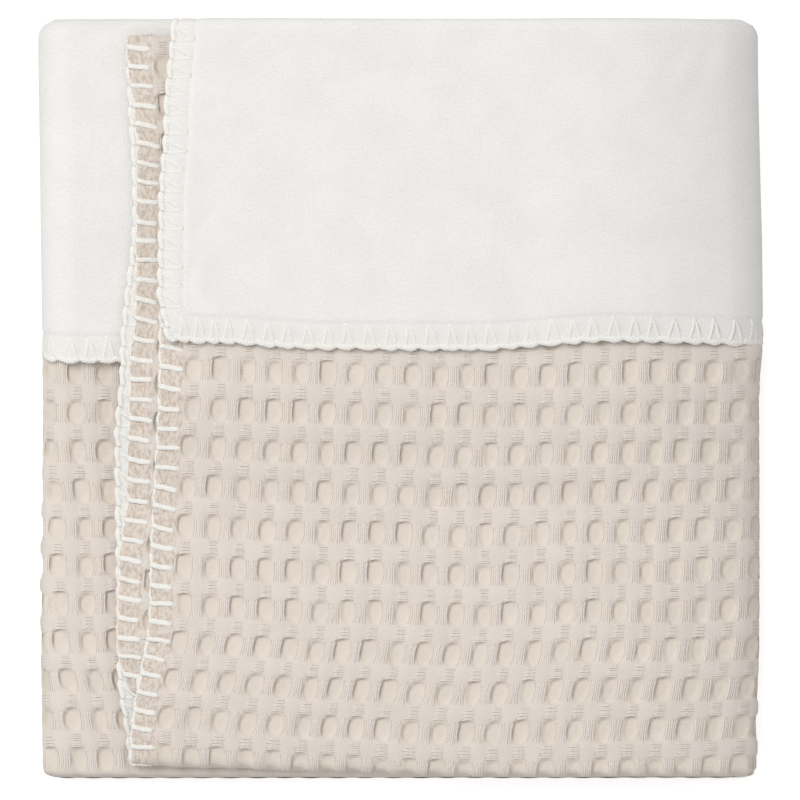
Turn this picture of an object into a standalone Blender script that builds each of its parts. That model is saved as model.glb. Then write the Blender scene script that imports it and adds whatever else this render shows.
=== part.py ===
"""A folded cotton blanket: a waffle weave face cloth, lined with brushed flannel.

The cloth is first folded lengthwise, over and back, into runs that lie on each other: a
flap turned down over the top, the face, a return run underneath, and a tail between the
two. That stack is then folded in three across its width: the front panel on top, the
under panel on the floor, and the side panel tucked between them.

Metres, +Z up, +X to the right and +Y to the top of the pack as seen from above. The
origin is the middle of the underside.
"""

import math
from collections import namedtuple

import bmesh
import bpy

# The two cloths, and the distance from one layer of folded cloth to the next
WAFFLE_THICKNESS = 0.0018
FLANNEL_THICKNESS = 0.0010
PIECE_GAP = 0.0003
PITCH = 0.0036
CLOTH = WAFFLE_THICKNESS + PIECE_GAP + FLANNEL_THICKNESS

# The length of the pack, and how tightly the cloth turns at its lengthwise folds
TOP_LINE = 0.1529
TAIL_FOLD_LINE = 0.1469
BOTTOM_LINE = -0.1521
FOLD_RADIUS = 0.0020

# The width: what the side panel reaches past its fold if its fold had no radius, and the
# band of the front panel that sinks from the side panel's edge to the under panel
SIDE_REACH = 0.229
SAG_START = 0.0660
SAG_END = 0.1222

# The stack is four layers thick under the flap, and thins to three below its hem
FOUR_LAYERS_DOWN_TO = 0.0136
THREE_LAYERS_FROM = -0.0500

# The bottom fold lies higher or lower than its line only on this last stretch
BOTTOM_SHIFT_FROM = -0.0700

# Low swells of the panels that lie on other cloth, which die out before the sag
SWELL_HEIGHT = 0.0010
SWELL_LENGTH_X = 0.200
SWELL_LENGTH_Y = 0.260
SWELL_FADES_FROM = 0.0
SWELL_ENDS = 0.050

# The lengthwise section. Columns: height in layers, start y, end y, waffle side up or down
Run = namedtuple("Run", "level start end waffle_up")
HEM_LINE = 0.0221
TAIL_END = -0.1216
FOLD_REACH = PITCH / 2 + CLOTH / 2
TOP_CENTRE = TOP_LINE - FOLD_REACH
TAIL_CENTRE = TAIL_FOLD_LINE - FOLD_REACH
BOTTOM_CENTRE = BOTTOM_LINE + FOLD_RADIUS + CLOTH / 2
RUNS = {
    "flap": Run(3.5, HEM_LINE, TOP_CENTRE, -1),
    "face": Run(2.5, TOP_CENTRE, BOTTOM_CENTRE, 1),
    "return": Run(0.5, BOTTOM_CENTRE, TAIL_CENTRE, -1),
    "tail": Run(1.5, TAIL_CENTRE, TAIL_END, 1),
}

# Where each run's free edge lies on the front panel. Columns: y, x
FRONT_EDGE = {
    "flap": ((0.1521, -0.0917), (0.1120, -0.0945), (0.0758, -0.0966), (0.0397, -0.0970), (0.0257, -0.0945)),
    "face": ((0.1497, -0.0901), (0.0758, -0.0945), (0.0217, -0.0966), (-0.0807, -0.1006), (-0.1473, -0.1086)),
    "return": (
        (0.1439, -0.1098),
        (0.0758, -0.1071),
        (0.0157, -0.1122),
        (-0.0165, -0.1144),
        (-0.1128, -0.1134),
        (-0.1469, -0.1094),
    ),
    "tail": (
        (0.1435, -0.1098),
        (0.0999, -0.1058),
        (0.0317, -0.1064),
        (0.0157, -0.1086),
        (-0.0405, -0.1098),
        (-0.0646, -0.1130),
        (-0.1007, -0.1138),
        (-0.1216, -0.1098),
    ),
}

# The pack's outline at its two side folds. Columns: y, right x, left x
SIDE_FOLDS = (
    (0.1521, 0.1441, -0.1461),
    (0.0221, 0.1461, -0.1446),
    (-0.0004, 0.1449, -0.1444),
    (-0.0807, 0.1449, -0.1456),
    (-0.1489, 0.1442, -0.1446),
)

# How far the flap's hem and the bottom fold lie above their lines. Columns: x, hem, bottom
FRONT_SHIFT = (
    (-0.1046, 0.0036, 0.0044),
    (-0.0790, 0.0014, 0.0036),
    (-0.0300, -0.0012, 0.0020),
    (0.0280, -0.0016, 0.0000),
    (0.0870, 0.0020, 0.0000),
    (0.1460, 0.0004, 0.0000),
)
UNDER_SHIFT = (-0.0030, -0.0008)
SIDE_SHIFT = (-0.0065, 0.0002)

# The grid of the cloth: where its rows and columns of faces meet
FLAP_STOPS = (0.055, 0.100)
LENGTH_STOPS = (0.100, 0.055, 0.0136, -0.0023, -0.0182, -0.0341, -0.0500, -0.085, -0.115)
FRONT_STOPS = (-0.075, -0.030, 0.015, 0.050)
SAG_CELLS = 6
SIDE_STOPS = (-0.075, -0.030, 0.015, 0.050)
UNDER_CELLS = 4
SIDE_FOLD_CELLS = 6
QUARTER_TURN_CELLS = 3

# Linear base colours and roughness
WAFFLE_COLOUR = (0.70, 0.63, 0.55, 1.0)
FLANNEL_COLOUR = (0.86, 0.85, 0.82, 1.0)
CLOTH_ROUGHNESS = 0.9

Row = namedtuple("Row", "y level height edge hem_share bottom_share")
Lane = namedtuple("Lane", "panel at")


def smooth(share):
    """An S-curve from 0 to 1."""
    share = min(max(share, 0.0), 1.0)
    return share * share * (3.0 - 2.0 * share)


def mix(first, second, share):
    return first + (second - first) * share


def look_up(table, key, column=1):
    """The value in a column of a table, read smoothly between rows by their first column."""
    rows = sorted(table)
    if key <= rows[0][0]:
        return rows[0][column]
    for low, high in zip(rows, rows[1:]):
        if key <= high[0]:
            return mix(low[column], high[column], smooth((key - low[0]) / (high[0] - low[0])))
    return rows[-1][column]


def stack_thickness(y):
    """How thick one panel's stack of layers is at y."""
    fourth_layer = smooth((y - THREE_LAYERS_FROM) / (FOUR_LAYERS_DOWN_TO - THREE_LAYERS_FROM))
    return PITCH * (3.0 + fourth_layer)


def swell(x, y):
    """The low unevenness of a panel that lies on other cloth."""
    across = math.sin(math.tau * x / SWELL_LENGTH_X + 0.7)
    along = math.cos(math.tau * y / SWELL_LENGTH_Y - 0.4)
    fade = 1.0 - smooth((x - SWELL_FADES_FROM) / (SWELL_ENDS - SWELL_FADES_FROM))
    return SWELL_HEIGHT * (0.5 + 0.5 * across * along) * fade


def front_floor(x, y):
    """The height that the front panel's stack rests on."""
    side_panel = 1.0 - smooth((x - SAG_START) / (SAG_END - SAG_START))
    return stack_thickness(y) * (1.0 + side_panel) + swell(x, y)


def bottom_share(y):
    """How much of a shift of the bottom fold reaches the cloth at y."""
    return smooth((BOTTOM_SHIFT_FROM - y) / (BOTTOM_SHIFT_FROM - BOTTOM_CENTRE))


def run_row(name, y, offset):
    """One row of points of a run; offset is how far they lie towards the waffle side."""
    run = RUNS[name]
    hem_share = smooth((run.end - y) / (run.end - run.start)) if name == "flap" else 0.0
    return Row(
        y,
        run.level,
        run.level * PITCH + run.waffle_up * offset,
        look_up(FRONT_EDGE[name], y),
        hem_share,
        bottom_share(y),
    )


def bend_rows(name, next_name, offset):
    """The rows round the fold from one run to the next: two quarter turns and a rise."""
    run = RUNS[name]
    next_run = RUNS[next_name]
    rise = (next_run.level - run.level) * PITCH
    up = math.copysign(1.0, rise)
    forward = math.copysign(1.0, run.end - run.start)
    radius = min(abs(rise) / 2, FOLD_RADIUS)
    reach = radius - up * run.waffle_up * offset
    first_edge = look_up(FRONT_EDGE[name], run.end)
    last_edge = look_up(FRONT_EDGE[next_name], run.end)
    low_centre = run.level * PITCH + up * radius
    high_centre = next_run.level * PITCH - up * radius
    quarter = [math.pi / 2 * step / QUARTER_TURN_CELLS for step in range(QUARTER_TURN_CELLS + 1)]
    turns = [(low_centre, angle) for angle in quarter]
    turns += [(high_centre, math.pi / 2 + angle) for angle in quarter]
    if abs(high_centre - low_centre) < 1e-9:
        del turns[QUARTER_TURN_CELLS]
    rows = []
    for centre, angle in turns:
        y = run.end + forward * reach * math.sin(angle)
        height = centre - up * reach * math.cos(angle)
        level = mix(run.level, next_run.level, angle / math.pi)
        edge = mix(first_edge, last_edge, angle / math.pi)
        rows.append(Row(y, level, height, edge, 0.0, bottom_share(run.end)))
    return rows


def cloth_rows(offset):
    """All rows of the cloth, from the flap's hem to the tail's end."""
    rows = [run_row("flap", y, offset) for y in (HEM_LINE, *FLAP_STOPS)]
    rows += bend_rows("flap", "face", offset)
    rows += [run_row("face", y, offset) for y in LENGTH_STOPS]
    rows += bend_rows("face", "return", offset)
    rows += [run_row("return", y, offset) for y in reversed(LENGTH_STOPS)]
    rows += bend_rows("return", "tail", offset)
    rows += [run_row("tail", y, offset) for y in (*LENGTH_STOPS, TAIL_END)]
    return rows


def cloth_lanes():
    """All lanes of the cloth, from the free edge on the front to the edge tucked inside."""
    sag_step = (SAG_END - SAG_START) / SAG_CELLS
    turns = [math.pi * step / SIDE_FOLD_CELLS for step in range(SIDE_FOLD_CELLS + 1)]
    lanes = [Lane("front", None)]
    lanes += [Lane("front", x) for x in FRONT_STOPS]
    lanes += [Lane("front", SAG_START + sag_step * step) for step in range(SAG_CELLS + 1)]
    lanes += [Lane("right fold", angle) for angle in turns]
    lanes += [Lane("under", step / UNDER_CELLS) for step in range(1, UNDER_CELLS)]
    lanes += [Lane("left fold", angle) for angle in turns]
    lanes += [Lane("side", x) for x in SIDE_STOPS]
    lanes.append(Lane("side", None))
    return lanes


def shifted(row, hem, bottom):
    """The y of a row where the hem and the bottom fold are that far above their lines."""
    return row.y + row.hem_share * hem + row.bottom_share * bottom


def place(row, lane):
    """The point of the folded pack where a row and a lane of the cloth cross."""
    x, y, z = place_in_stack(row, lane)
    return x, y, z - (PITCH - CLOTH) / 2


def place_in_stack(row, lane):
    """That point where the stack's lowest layer still has its share of space below it."""
    thick = stack_thickness(row.y)
    right = look_up(SIDE_FOLDS, row.y, 1) - thick
    left = look_up(SIDE_FOLDS, row.y, 2) + thick
    if lane.panel == "front":
        x = row.edge if lane.at is None else lane.at
        y = shifted(row, look_up(FRONT_SHIFT, x, 1), look_up(FRONT_SHIFT, x, 2))
        slope = (front_floor(x + PITCH, row.y) - front_floor(x - PITCH, row.y)) / (2 * PITCH)
        return x, y, front_floor(x, row.y) + row.height * math.hypot(1.0, slope)
    if lane.panel == "right fold":
        share = smooth(lane.at / math.pi)
        hem = mix(FRONT_SHIFT[-1][1], UNDER_SHIFT[0], share)
        bottom = mix(FRONT_SHIFT[-1][2], UNDER_SHIFT[1], share)
        x = right + row.height * math.sin(lane.at)
        z = thick + row.height * math.cos(lane.at) + swell(right, row.y) * (1.0 - share)
        return x, shifted(row, hem, bottom), z
    if lane.panel == "under":
        return mix(right, left, lane.at), shifted(row, *UNDER_SHIFT), thick - row.height
    if lane.panel == "left fold":
        share = smooth(lane.at / math.pi)
        hem = mix(UNDER_SHIFT[0], SIDE_SHIFT[0], share)
        bottom = mix(UNDER_SHIFT[1], SIDE_SHIFT[1], share)
        x = left - row.height * math.sin(lane.at)
        z = thick - row.height * math.cos(lane.at) + swell(left, row.y) * share
        return x, shifted(row, hem, bottom), z
    x = left + SIDE_REACH - math.pi * PITCH * row.level if lane.at is None else lane.at
    return x, shifted(row, *SIDE_SHIFT), thick + row.height + swell(x, row.y)


def cloth_material(name, colour):
    material = bpy.data.materials.new(name)
    material.use_nodes = True
    shader = material.node_tree.nodes["Principled BSDF"]
    shader.inputs["Base Color"].default_value = colour
    shader.inputs["Roughness"].default_value = CLOTH_ROUGHNESS
    shader.inputs["Metallic"].default_value = 0.0
    material.diffuse_color = colour
    return material


def folded_sheet(name, offset, thickness, material, collection):
    """A sheet of cloth on the blanket's folds, offset from the cloth's middle."""
    rows = cloth_rows(offset)
    lanes = cloth_lanes()
    cells_along = len(rows) - 1
    cells_across = len(lanes) - 1
    bm = bmesh.new()
    bmesh.ops.create_grid(bm, x_segments=cells_across, y_segments=cells_along, size=1.0)
    for vert in bm.verts:
        lane = lanes[round((vert.co.x + 1.0) / 2.0 * cells_across)]
        row = rows[round((vert.co.y + 1.0) / 2.0 * cells_along)]
        vert.co = place(row, lane)
    bmesh.ops.triangulate(bm, faces=bm.faces, quad_method="FIXED")
    mesh = bpy.data.meshes.new(name)
    bm.to_mesh(mesh)
    bm.free()
    mesh.materials.append(material)
    mesh.shade_smooth()
    sheet = bpy.data.objects.new(name, mesh)
    collection.objects.link(sheet)
    shell = sheet.modifiers.new("thickness", "SOLIDIFY")
    shell.thickness = thickness
    shell.offset = 0.0
    shell.use_even_offset = True
    return sheet


def build():
    for old in list(bpy.data.objects):
        bpy.data.objects.remove(old, do_unlink=True)
    collection = bpy.data.collections.new("waffle_blanket")
    bpy.context.scene.collection.children.link(collection)
    folded_sheet(
        "waffle_cloth",
        CLOTH / 2 - WAFFLE_THICKNESS / 2,
        WAFFLE_THICKNESS,
        cloth_material("waffle_cotton", WAFFLE_COLOUR),
        collection,
    )
    folded_sheet(
        "flannel_lining",
        FLANNEL_THICKNESS / 2 - CLOTH / 2,
        FLANNEL_THICKNESS,
        cloth_material("brushed_flannel", FLANNEL_COLOUR),
        collection,
    )


build()
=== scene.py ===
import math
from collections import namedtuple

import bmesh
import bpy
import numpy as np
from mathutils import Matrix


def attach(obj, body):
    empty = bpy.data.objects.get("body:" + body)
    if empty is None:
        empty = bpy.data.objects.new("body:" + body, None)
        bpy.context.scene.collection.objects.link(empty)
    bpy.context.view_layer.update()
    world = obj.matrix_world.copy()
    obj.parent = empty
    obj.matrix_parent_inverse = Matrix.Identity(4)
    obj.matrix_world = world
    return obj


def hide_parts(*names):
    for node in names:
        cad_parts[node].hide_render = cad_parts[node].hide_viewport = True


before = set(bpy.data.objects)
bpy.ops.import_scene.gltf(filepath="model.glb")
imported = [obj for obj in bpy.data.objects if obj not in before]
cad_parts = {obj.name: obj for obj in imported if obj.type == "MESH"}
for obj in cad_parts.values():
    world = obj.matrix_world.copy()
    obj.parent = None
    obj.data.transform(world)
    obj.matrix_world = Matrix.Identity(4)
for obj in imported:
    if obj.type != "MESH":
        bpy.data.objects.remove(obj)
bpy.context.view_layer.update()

# A folded blanket: beige waffle weave lined with off-white brushed flannel, its cut edges
# in blanket stitch. The cloth's own coordinates are w, the way across its width from the
# free edge on the front, and v, the way along its length from the flap's hem. n is the way
# out of the cloth towards its waffle side, from the cloth's middle. All are in metres.
# The weave is counted in cells: c across and r along, with a whole number at each node.

# ---- The folds ----
# They are the part's own, but for the front's sag and for where the pack is pressed.
WAFFLE_THICKNESS = 0.0018
FLANNEL_THICKNESS = 0.0010
PIECE_GAP = 0.0003
PITCH = 0.0036
CLOTH = WAFFLE_THICKNESS + PIECE_GAP + FLANNEL_THICKNESS

TOP_LINE = 0.1529
TAIL_FOLD_LINE = 0.1469
BOTTOM_LINE = -0.1521
FOLD_RADIUS = 0.0020
SIDE_REACH = 0.229
# Where the front starts to sag towards the right fold, past the side panel
SAG_START = 0.0600
FOUR_LAYERS_DOWN_TO = 0.0136
THREE_LAYERS_FROM = -0.0500
BOTTOM_SHIFT_FROM = -0.0700
SWELL_HEIGHT, SWELL_LENGTH_X, SWELL_LENGTH_Y = 0.0010, 0.200, 0.260
SWELL_FADES_FROM, SWELL_ENDS = 0.0, 0.050

# Columns: height in layers, start y, end y, waffle side up or down
Run = namedtuple("Run", "level start end waffle_up")
HEM_LINE = 0.0221
TAIL_END = -0.1216
FOLD_REACH = PITCH / 2 + CLOTH / 2
TOP_CENTRE = TOP_LINE - FOLD_REACH
TAIL_CENTRE = TAIL_FOLD_LINE - FOLD_REACH
BOTTOM_CENTRE = BOTTOM_LINE + FOLD_RADIUS + CLOTH / 2
RUNS = {
    "flap": Run(3.5, HEM_LINE, TOP_CENTRE, -1),
    "face": Run(2.5, TOP_CENTRE, BOTTOM_CENTRE, 1),
    "return": Run(0.5, BOTTOM_CENTRE, TAIL_CENTRE, -1),
    "tail": Run(1.5, TAIL_CENTRE, TAIL_END, 1),
}

# Where each run's free edge lies on the front panel. Columns: y, x
FRONT_EDGE = {
    "flap": (
        (0.1521, -0.0917), (0.1120, -0.0945), (0.0758, -0.0966),
        (0.0397, -0.0970), (0.0257, -0.0945),
    ),
    "face": (
        (0.1497, -0.0901), (0.0758, -0.0945), (0.0217, -0.0966),
        (-0.0807, -0.1006), (-0.1473, -0.1086),
    ),
    "return": (
        (0.1439, -0.1098), (0.0758, -0.1071), (0.0157, -0.1122),
        (-0.0165, -0.1144), (-0.1128, -0.1134), (-0.1469, -0.1094),
    ),
    "tail": (
        (0.1435, -0.1098), (0.0999, -0.1058), (0.0317, -0.1064), (0.0157, -0.1086),
        (-0.0405, -0.1098), (-0.0646, -0.1130), (-0.1007, -0.1138), (-0.1216, -0.1098),
    ),
}

# The pack's outline at its two side folds. Columns: y, right x, left x
SIDE_FOLDS = (
    (0.1521, 0.1441, -0.1461),
    (0.0221, 0.1461, -0.1446),
    (-0.0004, 0.1449, -0.1444),
    (-0.0807, 0.1449, -0.1456),
    (-0.1489, 0.1442, -0.1446),
)

# How far the flap's hem and the bottom fold lie above their lines. Columns: x, hem, bottom
FRONT_SHIFT = (
    (-0.1046, 0.0036, 0.0044),
    (-0.0790, 0.0014, 0.0036),
    (-0.0300, -0.0012, 0.0020),
    (0.0280, -0.0016, 0.0000),
    (0.0870, 0.0020, 0.0000),
    (0.1460, 0.0004, 0.0000),
)
UNDER_SHIFT = (-0.0030, -0.0008)
SIDE_SHIFT = (-0.0065, 0.0002)

# ---- The weave ----
COLUMN = 0.01096
ROW = 0.01594
EDGE_COLUMN = 0.267
ROW_ZERO_Y = 0.00084

# How far a row lies above its place, in rows. Columns: column, shift
ROW_BOW = (
    (0.0, 0.226), (2.3, 0.190), (5.0, 0.108), (7.2, 0.053), (10.5, 0.0), (13.8, 0.018),
    (16.0, 0.063), (18.2, 0.100), (20.4, 0.116), (23.0, 0.170), (34.0, 0.200), (48.0, 0.0),
)
# The same on the side panel. Columns: row, shift
SIDE_BOW = ((0.0, 0.09), (2.0, 0.12), (6.5, 0.33))
SIDE_BOW_FROM, SIDE_BOW_WHOLE = 34.0, 48.0

# Where one column lies on the side panel. Columns: y, x
SIDE_COLUMN = 51.0
SIDE_COLUMN_AT = (
    (-0.1473, -0.1130), (-0.1248, -0.1159), (-0.0927, -0.1203),
    (-0.0526, -0.1220), (-0.0124, -0.1246),
)
SIDE_SHEAR_FROM, SIDE_SHEAR_WHOLE = 24.0, 47.0

# A cell, as shares of a column or row from the middle of its pit, and heights out of the cloth.
# The pits are square at their upper end and round at their lower.
PIT_HALF_WIDTH = 0.325
PIT_HALF_HEIGHT = 0.340
PIT_HEAD_SQUARENESS, PIT_FOOT_SQUARENESS = 2.35, 1.75
# Where the pits' walls start and end, on their gentle side and on their steep upper left side
PIT_WALL_FROM = (0.42, 0.84)
PIT_WALL_TO = (1.08, 1.00)
STEEP_ACROSS, STEEP_ALONG = 0.52, 0.34
# How far the pits stray from their places, and their range of widths, heights and slants
PIT_STRAYS = (0.09, 0.08)
PIT_WIDTHS, PIT_HEIGHTS, PIT_SLANT = (0.86, 1.09), (0.88, 1.08), 0.22
# The pits' floor, how much it differs from pit to pit, its crown and its unevenness
PIT_FLOOR, FLOOR_VARIES, FLOOR_CROWN, FLOOR_UNEVEN = -0.00010, 0.00030, 0.00012, 0.00010
# The thin crevices at the foot of the steep walls, as shares of the way to the pit's rim; the
# waffle's colour is darkened in them as painted shade
CREVICE_DEPTH, CREVICE_AT, CREVICE_HALF_WIDTH = 0.00022, 0.88, 0.10
# The ridges between the pits, and the nodes where they cross, which are a little higher
RIDGE_TOP, RIDGE_ROUND, RIDGE_UNEVEN = 0.00120, 0.00020, 0.00007
RIDGE_HALF_WIDTH = 0.18
NODE_TOP = 0.00142
NODE_HALF_WIDTH, NODE_HALF_HEIGHT = 0.36, 0.29
NODE_ROUND_WIDTH, NODE_ROUND_HEIGHT = 0.38, 0.34
# How far the columns and rows wander, in cells
COLUMN_WANDERS, ROW_WANDERS = 0.07, 0.035

# The stitched band along each cut edge
STITCH_SPACING = 0.0080
BAR_LENGTH = 0.0098
BAND_INNER, BAND_OUTER = 0.0090, 0.0108
BAND_HEIGHT = 0.00055
# What it keeps of the weave's relief, how far it puffs up and crumples between the stitches,
# and the dent there, with its distance from the edge
BAND_RELIEF_SHARE, BAND_PUFF, BAND_CRUMPLE = 0.32, 0.00022, 0.00013
BAND_DENT, DENT_AT, DENT_HALF_WIDTH = 0.00034, 0.0046, 0.0014
WAFFLE_ROLL = 0.00100
FLANNEL_ROLL = 0.00030
ROLL_LENGTH = 0.0014

# Where the stitches fall along the edges: places, and the number of the stitch there
FRONT_STITCHES = (
    (-0.0100, -46.9), (0.0999, -33.0), (0.1223, -30.0), (0.2613, -13.0), (0.2943, -9.0),
    (0.3649, 0.0), (0.4263, 8.0), (0.7402, 47.0), (0.7640, 50.0), (0.7945, 54.0),
    (0.8419, 60.0), (0.8575, 62.0), (0.9061, 68.0), (0.9703, 76.0), (0.9952, 79.0),
    (1.0200, 82.3),
)
HEM_STITCHES = ((-0.0068, -2.0), (0.0048, 0.0), (0.0284, 4.0), (0.2163, 27.0), (0.7603, 95.0))
FRONT_UNEVEN, HEM_UNEVEN = 0.02, 0.06
# How far each stitch draws the cut edge in, and how far into the cloth that reaches
FRONT_SCALLOP, HEM_SCALLOP = 0.0006, 0.0008
HEM_PROUD = 0.0008
SCALLOP_FADES = 0.004
CUT_CORNER = 0.0035
# The corners of the pack where its side folds meet the top and bottom folds
TOP_CORNER, BOTTOM_CORNER = 0.0060, 0.0018
# Below the flap's hem only three layers lie side by side at the side folds
FOUR_WIDE_FROM, FOUR_WIDE = 0.0205, 0.0265
# The layers are pressed together towards the right fold
PRESSED_FROM, PRESSED = 0.0960, 0.19
# The whole pack is pressed a little towards its bottom fold
LOW_FROM, LOW = -0.0980, 0.15
# The free edges on the front sink onto the layer below
EDGE_SINKS, EDGE_SINK_REACH = 0.0010, 0.0110


def smooth(share):
    share = np.clip(share, 0.0, 1.0)
    return share * share * (3.0 - 2.0 * share)


def ramp(value, low, high):
    """0 at low and 1 at high, smooth between, and flat past both."""
    return smooth((value - low) / (high - low))


def mix(first, second, share):
    return first + (second - first) * share


def look_up(table, key, column=1):
    """The values in a column of a table, read smoothly between rows by their first column."""
    rows = np.array(sorted(table))
    keys, values = rows[:, 0], rows[:, column]
    low = np.clip(np.searchsorted(keys, key) - 1, 0, len(keys) - 2)
    share = smooth((key - keys[low]) / (keys[low + 1] - keys[low]))
    return mix(values[low], values[low + 1], share)


def chance(*numbers):
    """A number from 0 to 1 that looks random, and is the same each run."""
    mixed = sum(np.sin(np.asarray(x) * k) for x, k in zip(numbers, (12.9898, 78.233, 37.719)))
    return np.mod(mixed * 4375.8545 + 0.123, 1.0)


def waves(a, b, seed):
    """A smooth unevenness from -1 to 1 over the cloth, for a and b in cells."""
    total = 0.0
    for k in range(4):
        angle = 2.4 * k + seed
        along = a * math.cos(angle) + b * math.sin(angle)
        total = total + np.sin(along * (0.55 + 0.31 * k) + 1.7 * seed + 2.1 * k)
    return total / 4.0


def hump(value, middle, half_width):
    """1 at the middle, and fading to both sides of it."""
    return np.exp(-(((value - middle) / half_width) ** 2))


# ---- Where the cloth lies ----
Section = namedtuple("Section", "v y height out_y out_height level edge hem_share bottom_share")
ROW_STEP = 0.0004
TURN_STEPS = 16
BEYOND_EDGE = 0.004


def bottom_share(y):
    return ramp(y, BOTTOM_SHIFT_FROM, BOTTOM_CENTRE)


def run_samples(name, v, samples):
    run = RUNS[name]
    length = abs(run.end - run.start)
    forward = math.copysign(1.0, run.end - run.start)
    first = -BEYOND_EDGE if name == "flap" else 0.0
    last = length + (BEYOND_EDGE if name == "tail" else 0.0)
    for at in np.linspace(first, last, round((last - first) / ROW_STEP) + 1):
        y = run.start + forward * at
        hem_share = ramp(y, run.end, run.start) if name == "flap" else 0.0
        edge = float(look_up(FRONT_EDGE[name], y))
        row = (v + at, y, run.level * PITCH, 0.0, run.waffle_up, run.level)
        samples.append((*row, edge, hem_share, bottom_share(y)))
    return v + length


def bend_samples(name, next_name, v, samples):
    run, next_run = RUNS[name], RUNS[next_name]
    rise = (next_run.level - run.level) * PITCH
    up = math.copysign(1.0, rise)
    forward = math.copysign(1.0, run.end - run.start)
    radius = min(abs(rise) / 2, FOLD_RADIUS)
    straight = abs(rise) - 2 * radius
    edges = [float(look_up(FRONT_EDGE[which], run.end)) for which in (name, next_name)]
    centres = (run.level * PITCH + up * radius, next_run.level * PITCH - up * radius)
    for half in (0, 1):
        start = v + half * (math.pi / 2 * radius + straight)
        for step in range(TURN_STEPS + 1):
            angle = math.pi / 2 * (half + step / TURN_STEPS)
            share, sine, cosine = angle / math.pi, math.sin(angle), math.cos(angle)
            row = (
                start + math.pi / 2 * radius * step / TURN_STEPS + 1e-7 * half,
                run.end + forward * radius * sine,
                centres[half] - up * radius * cosine,
                -forward * up * run.waffle_up * sine,
                run.waffle_up * cosine,
            )
            edge = mix(*edges, share)
            level = mix(run.level, next_run.level, share)
            samples.append((*row, level, edge, 0.0, float(bottom_share(run.end))))
    return v + math.pi * radius + straight


def section_table():
    samples, starts, v = [], {}, 0.0
    names = list(RUNS)
    for name, next_name in zip(names, names[1:] + [None]):
        starts[name] = v
        v = run_samples(name, v, samples)
        if next_name:
            v = bend_samples(name, next_name, v, samples)
    return Section(*np.array(samples).T), starts, v


SECTION, RUN_START, CLOTH_LENGTH = section_table()
FACE_V = RUN_START["face"]
ROW_ZERO_V = FACE_V + TOP_CENTRE - ROW_ZERO_Y


def section(v):
    return Section(v, *(np.interp(v, SECTION.v, column) for column in SECTION[1:]))


def stack_thickness(y):
    return PITCH * (3.0 + ramp(y, THREE_LAYERS_FROM, FOUR_LAYERS_DOWN_TO))


def swell(x, y):
    across = np.sin(math.tau * x / SWELL_LENGTH_X + 0.7)
    along = np.cos(math.tau * y / SWELL_LENGTH_Y - 0.4)
    fade = 1.0 - ramp(x, SWELL_FADES_FROM, SWELL_ENDS)
    return SWELL_HEIGHT * (0.5 + 0.5 * across * along) * fade


def front_floor(x, y, right):
    """What the front panel lies on: it sags past the side panel, ever more steeply to the right."""
    sag = np.maximum((x - SAG_START) / (right - SAG_START), 0.0) ** 2
    return stack_thickness(y) * (2.0 - sag) + swell(x, y)


Spans = namedtuple("Spans", "right left front right_turn under left_turn whole")


def fold_corner(y):
    """How far the side folds draw in where they meet the top and bottom folds."""
    total = 0.0
    for radius, line, way in ((TOP_CORNER, TOP_CENTRE, 1.0), (BOTTOM_CORNER, BOTTOM_CENTRE, -1.0)):
        share = np.clip((way * (y - line) + radius - FOLD_RADIUS) / radius, 0.0, 1.0)
        total = total + radius * (1.0 - np.sqrt(1.0 - share**2))
    return total


def spans(row):
    """Where the cloth's width turns: the two fold lines, and w at the end of each stretch."""
    above_hem = ramp(row.y, FOUR_WIDE_FROM, FOUR_WIDE)
    four_wide = np.maximum(above_hem, smooth(row.level - RUNS["face"].level))
    inwards = PITCH * (3.0 + four_wide) + fold_corner(row.y)
    right = look_up(SIDE_FOLDS, row.y, 1) - inwards
    left = look_up(SIDE_FOLDS, row.y, 2) + inwards
    turn = math.pi * PITCH * row.level
    front = right - row.edge
    under = front + turn + right - left
    return Spans(right, left, front, front + turn, under, under + turn, under + SIDE_REACH)


def fold_angle(w, start, turn):
    """The angle round a side fold, and its share of the half turn."""
    angle = np.clip((w - start) / turn, 0.0, 1.0) * math.pi
    return angle, smooth(angle / math.pi)


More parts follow.
